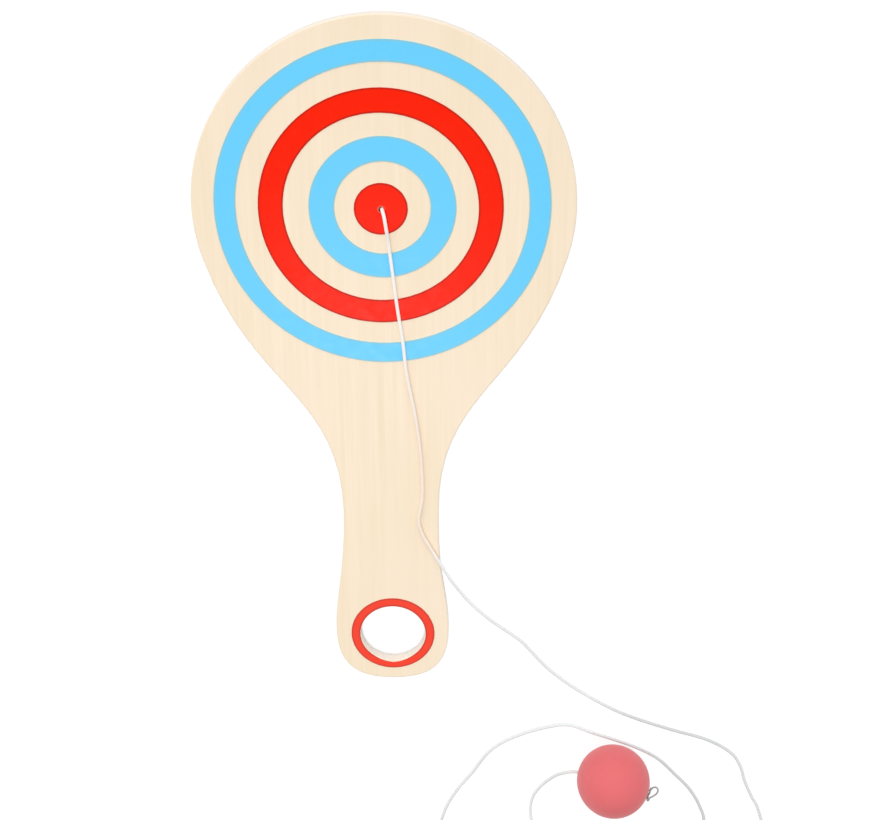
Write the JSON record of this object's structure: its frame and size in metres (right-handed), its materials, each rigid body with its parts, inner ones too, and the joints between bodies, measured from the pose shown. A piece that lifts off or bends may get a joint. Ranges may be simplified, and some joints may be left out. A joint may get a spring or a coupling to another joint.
{
  "type": "paddle ball",
  "caption": "Plywood bat with a printed target and a hanging hole, and a rubber ball tethered to the middle of its face by a thin elastic cord.",
  "frame": {"origin": "on the back face of the paddle, in the middle of its narrow waist, where the hand holds it", "axes": "+Z out of the printed face, +Y along the handle to the head, +X across the paddle to the side where the ball lies"},
  "size_m": [0.2138, 0.3676, 0.0284],
  "materials": {
    "pale_wood": "smooth, unvarnished, grain along the handle",
    "core_wood": "sawn edge, grain across the handle",
    "sky_blue_ink": "thin flat printing ink",
    "red_ink": "thin flat printing ink",
    "handle_red_ink": "thin flat printing ink, worn a little lighter",
    "white_elastic": "soft white round elastic",
    "pink_rubber": "matt solid rubber"
  },
  "bodies": {
    "paddle": {"front_face_ply": "pale_wood", "cross_ply_core": "core_wood", "back_face_ply": "pale_wood", "outer_blue_ring_print": "sky_blue_ink", "red_ring_print": "red_ink", "inner_blue_ring_print": "sky_blue_ink", "bullseye_print": "red_ink", "handle_ring_print": "handle_red_ink"},
    "tether": {"paddle_end_knot": "white_elastic", "elastic_cord": "white_elastic"},
    "tether_end": {"ball_end_knot": "white_elastic"},
    "ball": {"ball": "pink_rubber"}
  },
  "joints": [
    {"name": "tether_swing", "type": "hinge", "parent": "paddle", "child": "tether", "pos_m": [-0.0008, 0.1164, 0.004], "axis": [0, 0, 1], "range_deg": [0, 330]},
    {"name": "ball_lift", "type": "slide", "parent": "tether", "child": "tether_end", "axis": [0, 0, 1], "range_m": [0, 0.7], "deforming": ["elastic_cord"]},
    {"name": "ball_spin", "type": "hinge", "parent": "tether_end", "child": "ball", "pos_m": [0.0853, -0.1159, 0.0142], "axis": [0.9665, -0.1204, 0.2267], "continuous": true}
  ]
}
